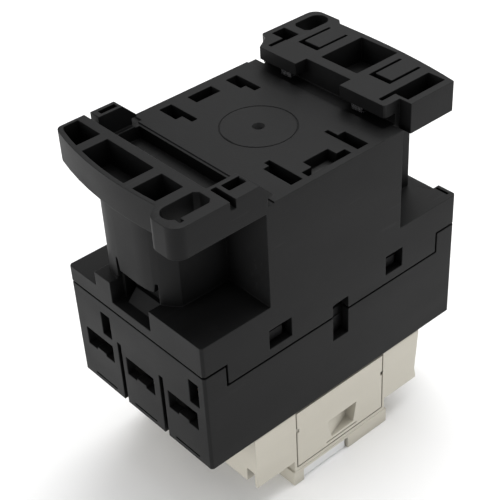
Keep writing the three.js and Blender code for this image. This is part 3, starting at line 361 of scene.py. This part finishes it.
def card(name):
    """Plain white card with paper fibre."""
    material, tree, shader, where = started(name)
    fibre = noise(tree, stretched(tree, where, (1.0, 3.0, 1.0), (0, 0, 20)), 1800.0, 4.0, 0.7)
    paper = blended(tree, fibre, (0.86, 0.86, 0.85, 1), (0.93, 0.93, 0.92, 1))
    feed(tree, shader, "Base Color", paper)
    feed(tree, shader, "Roughness", ranged(tree, fibre, 0.2, 0.8, 0.55, 0.75))
    raise_surface(tree, shader, fibre, 0.00001, 0.6)
    return material


def soft_pad(name):
    """Black cellular rubber."""
    material, tree, shader, where = started(name)
    cells = noise(tree, where, 2400.0, 4.0, 0.7)
    rubber = blended(tree, cells, (0.012, 0.012, 0.012, 1), (0.03, 0.03, 0.03, 1))
    feed(tree, shader, "Base Color", rubber)
    feed(tree, shader, "Roughness", ranged(tree, cells, 0.2, 0.8, 0.7, 0.9))
    raise_surface(tree, shader, cells, 0.00004, 0.8)
    return material


FINISH = {
    # recess is the strength of each plastic's painted shade in its recesses.
    "black_plastic": moulded_plastic(
        "black glass-filled nylon", (0.0055, 0.0056, 0.0058, 1), (0.0082, 0.0083, 0.0085, 1),
        (0.034, 0.035, 0.036, 1), 0.48, grain=3000.0, depth=0.000014, marks=0.45, edge=0.35,
        specular=0.125, recess=0.95),
    "cream_plastic": moulded_plastic(
        "warm grey polycarbonate", (0.575, 0.545, 0.465, 1), (0.545, 0.515, 0.44, 1),
        (0.66, 0.635, 0.57, 1), 0.42, grain=3600.0, depth=0.000008, marks=0.2, edge=0.35, recess=0.3),
    "dark_plastic": moulded_plastic(
        "dark grey thermoset", (0.016, 0.0165, 0.017, 1), (0.023, 0.023, 0.024, 1),
        (0.07, 0.07, 0.07, 1), 0.5, grain=2600.0, depth=0.00002, marks=0.3, edge=0.5),
    "nylon": moulded_plastic(
        "bobbin nylon", (0.05, 0.048, 0.045, 1), (0.07, 0.066, 0.06, 1),
        (0.14, 0.14, 0.13, 1), 0.44, grain=3000.0, depth=0.000012, marks=0.1, edge=0.4),
    "clear_plastic": clear_cap("clear polycarbonate"),
    "label": card("blank white card"),
    "elastomer": soft_pad("cushion rubber"),
    "tape": wound_tape("winding tape"),
    "lamination": stacked_steel("laminated core steel"),
    "zinc": worked_metal("zinc plated steel", (0.58, 0.59, 0.6, 1), (0.48, 0.5, 0.53, 1), 0.3,
                         (1.0, 1.0, 0.2)),
    "spring_steel": worked_metal("spring wire", (0.5, 0.5, 0.51, 1), (0.4, 0.4, 0.42, 1), 0.26,
                                 (1.0, 0.3, 1.0), 1400.0),
    "brass": worked_metal("stamped brass", (0.72, 0.52, 0.25, 1), (0.6, 0.42, 0.2, 1), 0.28,
                          (1.0, 0.1, 1.0)),
    "copper": worked_metal("stamped copper", (0.7, 0.38, 0.24, 1), (0.58, 0.3, 0.19, 1), 0.3,
                           (1.0, 0.1, 1.0)),
}
SLOT_OF = {part["node"]: part["material_slot"] for part in frame["record"]["subparts"]}


def paint(piece, slot):
    piece.data.materials.clear()
    piece.data.materials.append(FINISH[slot])


for node_name, solid in NODES.items():
    paint(solid, SLOT_OF[node_name])


# ---------------------------------------------------------------- making pieces
def settled(mesh_builder, name, node, smooth=None):
    """Turns a bmesh into the piece that stands for a node, on that node's body."""
    mesh = bpy.data.meshes.new(name)
    mesh_builder.to_mesh(mesh)
    mesh_builder.free()
    piece = bpy.data.objects.new(name, mesh)
    bpy.context.scene.collection.objects.link(piece)
    if smooth is not None:
        mesh.shade_smooth()
        mesh.set_sharp_from_angle(angle=math.radians(smooth))
    paint(piece, SLOT_OF[node])
    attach(piece, BODY_OF[node])
    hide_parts(node)
    return piece


def merged_copy(node):
    """A node's own shape, its loose triangles joined and its flat faces cut up evenly."""
    bm = bmesh.new()
    bm.from_mesh(NODES[node].data)
    bmesh.ops.remove_doubles(bm, verts=bm.verts, dist=0.000001)
    bmesh.ops.dissolve_limit(
        bm, angle_limit=math.radians(0.6), verts=bm.verts, edges=bm.edges,
        use_dissolve_boundaries=False)
    bmesh.ops.triangulate(bm, faces=bm.faces, quad_method="BEAUTY", ngon_method="BEAUTY")
    return bm


def softened(node, width, segments=2, sharper_than=35.0, carve=()):
    """The node's shape with its edges eased by width, then anything carved out of it."""
    piece = settled(merged_copy(node), node + "_finished", node)
    ease = piece.modifiers.new("eased edges", "BEVEL")
    ease.width = width
    ease.segments = segments
    ease.profile = 0.5
    ease.limit_method = "ANGLE"
    ease.angle_limit = math.radians(sharper_than)
    ease.use_clamp_overlap = False
    ease.miter_outer = "MITER_ARC"
    keep_shape(piece)
    for cutter in carve:
        carve_away(piece, cutter)
    even_shading(piece)
    paint(piece, SLOT_OF[node])
    return piece


def even_shading(piece, angle=26.0):
    """Rounds the shading of curved walls and keeps the flat ones flat."""
    piece.data.shade_smooth()
    piece.data.set_sharp_from_angle(angle=math.radians(angle))
    weighed = piece.modifiers.new("even shading", "WEIGHTED_NORMAL")
    weighed.keep_sharp = True
    weighed.mode = "FACE_AREA"
    weighed.weight = 90


def keep_shape(piece):
    """Makes what a piece's modifiers show its own mesh."""
    bpy.context.view_layer.update()
    shown = piece.evaluated_get(bpy.context.evaluated_depsgraph_get())
    mesh = bpy.data.meshes.new_from_object(shown)
    piece.modifiers.clear()
    piece.data = mesh


def carve_away(piece, cutter_builder):
    """Cuts a bmesh shape out of a piece for good."""
    mesh = bpy.data.meshes.new("cutter")
    cutter_builder.to_mesh(mesh)
    cutter_builder.free()
    cutter = bpy.data.objects.new("cutter", mesh)
    bpy.context.scene.collection.objects.link(cutter)
    cut = piece.modifiers.new("carve", "BOOLEAN")
    cut.operation = "DIFFERENCE"
    cut.solver = "EXACT"
    cut.object = cutter
    keep_shape(piece)
    bpy.data.objects.remove(cutter)


def profile_spun(points, centre, steps=48):
    """A closed turned shape from (radius, height) points that start and end on the axis."""
    bm = bmesh.new()
    corners = [bm.verts.new((centre.x + r, centre.y, z)) for r, z in points]
    edges = [bm.edges.new(pair) for pair in zip(corners, corners[1:])]
    bmesh.ops.spin(
        bm, geom=corners + edges, cent=(centre.x, centre.y, 0), axis=(0, 0, 1),
        angle=2 * math.pi, steps=steps, use_merge=True)
    bmesh.ops.remove_doubles(bm, verts=bm.verts, dist=0.000002)
    bmesh.ops.recalc_face_normals(bm, faces=bm.faces)
    return bm


def cord_of_wire(bm, radius, wire, centre, start_z, rises, sides=10):
    """Coils wire round Z: rises is [(turns, rise)], one entry for each stretch of pitch."""
    ring = bmesh.ops.create_circle(bm, cap_ends=False, radius=wire / 2, segments=sides)["verts"]
    upright = Matrix.Rotation(math.pi / 2, 4, "X")
    place = Matrix.Translation((centre.x + radius, centre.y, start_z)) @ upright
    bmesh.ops.transform(bm, matrix=place, verts=ring)
    first = list(dict.fromkeys(e for v in ring for e in v.link_edges))
    live = ring + first
    for turns, rise in rises:
        steps = max(4, int(24 * turns))
        spun = bmesh.ops.spin(
            bm, geom=live, cent=(centre.x, centre.y, 0), axis=(0, 0, 1),
            dvec=(0, 0, rise / steps), angle=2 * math.pi * turns, steps=steps, use_merge=False)
        live = spun["geom_last"]
    bmesh.ops.contextual_create(bm, geom=first)
    bmesh.ops.contextual_create(bm, geom=[g for g in live if isinstance(g, bmesh.types.BMEdge)])
    bmesh.ops.recalc_face_normals(bm, faces=bm.faces)
    return bm


# ---------------------------------------------------------------- housings, cover and doors
GATE = Vector((0, -0.5 * MM, 0))  # where the plastic entered the mould, on the rail seat
GATE_RING = 8.2  # mean radius of the ring round it, mm


def mould_gate():
    """The ring left round the moulding gate: a shallow groove with sloping sides."""
    bm = bmesh.new()
    groove = [(-0.18, 0.3), (-0.18, -0.05), (-0.08, -0.16), (0.08, -0.16), (0.18, -0.05), (0.18, 0.3)]
    corners = [bm.verts.new((GATE.x + (GATE_RING + r) * MM, GATE.y, z * MM)) for r, z in groove]
    edges = [bm.edges.new(pair) for pair in zip(corners, corners[1:] + corners[:1])]
    bmesh.ops.spin(
        bm, geom=corners + edges, cent=GATE, axis=(0, 0, 1),
        angle=2 * math.pi, steps=72, use_merge=True)
    bmesh.ops.remove_doubles(bm, verts=bm.verts, dist=0.000002)
    bmesh.ops.recalc_face_normals(bm, faces=bm.faces)
    return bm


def gate_dimple():
    """The pit in its middle, as (radius, height) in mm."""
    points = [(0, -1.3), (0.55, -1.25), (0.8, -0.4), (1.3, -0.12), (1.55, 0.3), (0, 0.3)]
    return profile_spun([(r * MM, z * MM) for r, z in points], GATE)


LATCH_ROWS = ((-18.9, -14.3), (15.1, 19.5))  # along Y, a little wider than the hooks, mm
LATCH_HEIGHT = -33.8  # middle of the hooks, mm
LATCH_DEPTH = 1.75  # of their faces behind the housing's side, mm


def latch_relief():
    """Sets the latch hooks back inside their side windows."""
    bm = bmesh.new()
    across = 2.0
    middle_x = CAD_BOX[1].x + (across / 2 - LATCH_DEPTH) * MM
    for side in (-1, 1):
        for y0, y1 in LATCH_ROWS:
            made = bmesh.ops.create_cube(bm, size=1.0)["verts"]
            bmesh.ops.scale(bm, vec=(across * MM, (y1 - y0) * MM, 2.9 * MM), verts=made)
            middle = (side * middle_x, (y0 + y1) / 2 * MM, LATCH_HEIGHT * MM)
            bmesh.ops.translate(bm, verts=made, vec=middle)
    return bm


EDGE = 0.12 * MM  # radius of the moulded edges
softened("base_housing", EDGE, carve=[mould_gate(), gate_dimple()])
softened("contact_housing", EDGE, carve=[latch_relief()])
softened("front_cover", EDGE)
for side in ("left", "right"):
    softened("side_door_" + side, EDGE)
softened("label_holder", 0.15 * MM, segments=3)
softened("contact_carrier", EDGE)


# ---------------------------------------------------------------- springs
def helical_spring(node, wire, turns, dead=0.75):
    """A compression spring with closed ends, filling its node's own box."""
    low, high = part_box(node)
    centre = (low + high) / 2
    radius = (high.x - low.x) / 2 - wire / 2
    tall = high.z - low.z - wire
    closed = wire * dead * 0.9
    rises = [(dead, closed), (turns - 2 * dead, tall - 2 * closed), (dead, closed)]
    bm = cord_of_wire(bmesh.new(), radius, wire, centre, low.z + wire / 2, rises)
    return settled(bm, node + "_coiled", node, smooth=50)


def pressed(node, wire, turns):
    """A coiled spring for a node, on a mesh of its own."""
    piece = helical_spring(node, wire, turns)
    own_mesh(piece)


for end in ENDS:
    pressed("return_spring_" + end, 0.7 * MM, 5)
for pole in POLES:
    pressed(f"contact_spring_{pole}", 0.6 * MM, 3)
pressed("aux_spring_open", 0.4 * MM, 3)
pressed("aux_spring_closed", 0.4 * MM, 3)


# ---------------------------------------------------------------- screws
HEAD_HEIGHT = {"control": 1.8 * MM, "power": 2.6 * MM}
WASHER_THICK = 0.7 * MM
RECESS_DEEP = 1.1 * MM
ARM_WIDTH = 0.95 * MM  # of the cross for the driver


def recess_wedge(centre, face, reach, deep, turn):
    """One arm of a tapered cross for a driver."""
    bm = bmesh.new()
    made = bmesh.ops.create_cube(bm, size=1.0)["verts"]
    bmesh.ops.scale(bm, vec=(2 * reach, ARM_WIDTH, 2 * deep), verts=made)
    for v in made:
        if v.co.z > 0:
            v.co.x *= 0.55
            v.co.y *= 0.7
    bmesh.ops.rotate(bm, verts=made, cent=(0, 0, 0), matrix=Matrix.Rotation(turn, 3, "Z"))
    bmesh.ops.translate(bm, verts=bm.verts, vec=(centre.x, centre.y, face))
    return bm


def clamp_screw(node, kind, thread):
    """A cheese-head terminal screw: eased head, cross recess, captive washer and plain shank.

    thread is the nominal radius; the shank is drawn at the root of the thread.
    """
    low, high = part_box(node)
    centre = (low + high) / 2
    head = (high.x - low.x) / 2
    face, tip = low.z, high.z
    seat = face + HEAD_HEIGHT[kind]
    washer = seat + WASHER_THICK
    root = thread * 0.86
    points = [
        (0, face + 0.02 * MM), (head * 0.55, face), (head - 0.45 * MM, face + 0.02 * MM),
        (head - 0.12 * MM, face + 0.18 * MM), (head, face + 0.5 * MM), (head, seat - 0.12 * MM),
        (head - 0.14 * MM, seat), (head - 0.14 * MM, seat + 0.08 * MM),
        (head - 0.1 * MM, seat + 0.14 * MM), (head - 0.1 * MM, washer - 0.06 * MM),
        (head - 0.18 * MM, washer), (root, washer), (root, tip - 0.6 * MM),
        (thread * 0.55, tip), (0, tip),
    ]
    bm = profile_spun(points, centre)
    piece = settled(bm, node + "_turned", node, smooth=38)
    for turn in (0.0, math.pi / 2):
        carve_away(piece, recess_wedge(centre, face, head * 0.62, RECESS_DEEP, turn))
    paint(piece, SLOT_OF[node])
    return piece


for end in ENDS:
    for pole in POLES:
        clamp_screw(f"{end}_screw_{pole}", "power", 1.75 * MM)
        clamp_screw(f"control_{end}_screw_{pole}", "control", 1.5 * MM)


# ---------------------------------------------------------------- floor, light and camera
def studio():
    """A plain pale floor under the part."""
    bm = bmesh.new()
    bmesh.ops.create_grid(bm, x_segments=1, y_segments=1, size=2.0)
    bmesh.ops.translate(bm, verts=bm.verts, vec=(0, 0, CAD_BOX[0].z))
    mesh = bpy.data.meshes.new("floor")
    bm.to_mesh(mesh)
    bm.free()
    floor = bpy.data.objects.new("floor", mesh)
    bpy.context.scene.collection.objects.link(floor)
    material, tree, shader, where = started("pale floor")
    faint = noise(tree, where, 6.0, 2.0)
    feed(tree, shader, "Base Color", blended(tree, faint, (0.93, 0.93, 0.93, 1), (0.95, 0.95, 0.95, 1)))
    shader.inputs["Roughness"].default_value = 0.9
    shader.inputs["Specular IOR Level"].default_value = 0.1
    mesh.materials.append(material)


def softbox(name, place, size, power):
    """A square white light aimed at the middle of the part."""
    light = bpy.data.lights.new(name, "AREA")
    light.shape = "SQUARE"
    light.size = size
    light.energy = power
    lamp = bpy.data.objects.new(name, light)
    lamp.location = place
    lamp.rotation_mode = "QUATERNION"
    lamp.rotation_quaternion = (LIT_POINT - Vector(place)).to_track_quat("-Z", "Y")
    bpy.context.scene.collection.objects.link(lamp)


def surroundings(strength):
    world = bpy.data.worlds.new("white room")
    world.use_nodes = True
    backdrop = world.node_tree.nodes["Background"]
    backdrop.inputs["Color"].default_value = (1.0, 1.0, 1.0, 1.0)
    backdrop.inputs["Strength"].default_value = strength
    bpy.context.scene.world = world


CAMERA_PLACE = (164.49, -141.40, 130.98)  # mm
CAMERA_TURN = (53.024, 2.689, 48.248)  # degrees
CAMERA_LENS = 87.9


def make_camera():
    lens = bpy.data.cameras.new("camera")
    lens.lens = CAMERA_LENS
    lens.sensor_width = 36.0
    lens.clip_start, lens.clip_end = 0.01, 20.0
    camera = bpy.data.objects.new("camera", lens)
    camera.location = Vector(CAMERA_PLACE) * MM
    camera.rotation_mode = "XYZ"
    camera.rotation_euler = Euler([math.radians(v) for v in CAMERA_TURN], "XYZ")
    bpy.context.scene.collection.objects.link(camera)
    bpy.context.scene.camera = camera


LIT_POINT = Vector((0, 0, -0.03))
studio()
surroundings(0.6)
softbox("overhead", (-0.12, 0.32, 0.8), 0.8, 8.2)
softbox("right side", (0.8, 0.15, 0.25), 0.6, 0.4)
softbox("line end", (-0.25, -0.85, 0.2), 0.5, 2.4)
make_camera()
bpy.context.scene.view_settings.view_transform = "Standard"
bpy.context.scene.view_settings.look = "None"
